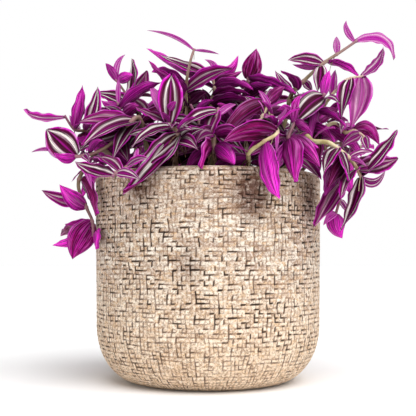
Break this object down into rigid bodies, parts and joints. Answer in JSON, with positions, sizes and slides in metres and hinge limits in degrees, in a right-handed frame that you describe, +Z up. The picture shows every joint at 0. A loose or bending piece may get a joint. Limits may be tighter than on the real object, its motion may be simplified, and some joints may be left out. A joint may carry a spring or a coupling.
{
  "type": "potted tradescantia",
  "caption": "Trailing tradescantia with striped purple leaves on separate stems, rooted in soil in a round stone pot with a woven relief.",
  "frame": {"origin": "centre of the pot's flat underside, on the floor", "axes": "+Z up along the pot's axis, front towards -Y, plant's tallest stem towards +X"},
  "size_m": [0.2986, 0.2569, 0.2888],
  "materials": {
    "pot": "rough, cast with a woven relief, dark in the grooves",
    "soil": "loose potting soil",
    "foliage": "satin leaf, striped silver over purple, magenta beneath"
  },
  "bodies": {
    "root": {"pot": "pot", "soil": "soil", "stem_left_far": "foliage", "stem_left_low": "foliage", "stem_left_rim": "foliage", "stem_front_left": "foliage", "stem_left_mid": "foliage", "stem_left_back": "foliage", "stem_top_left": "foliage", "stem_top_mid": "foliage", "stem_top_bright": "foliage", "stem_centre_front": "foliage", "stem_centre_bright": "foliage", "stem_pale_loop": "foliage", "stem_front_right": "foliage", "stem_right_mid": "foliage", "stem_right_top": "foliage", "stem_right_arch": "foliage", "stem_right_low": "foliage", "stem_right_branch": "foliage", "stem_right_trail": "foliage", "stem_inner_mid": "foliage", "stem_inner_front": "foliage", "stem_left_trail": "foliage", "stem_back_right_low": "foliage", "stem_back_right": "foliage", "stem_back_right_trail": "foliage", "stem_back_mid_right": "foliage", "stem_back_trail": "foliage", "stem_back_left": "foliage", "stem_back_left_high": "foliage", "stem_back_left_trail": "foliage", "stem_crown_right": "foliage", "stem_crown_left": "foliage"}
  },
  "joints": []
}
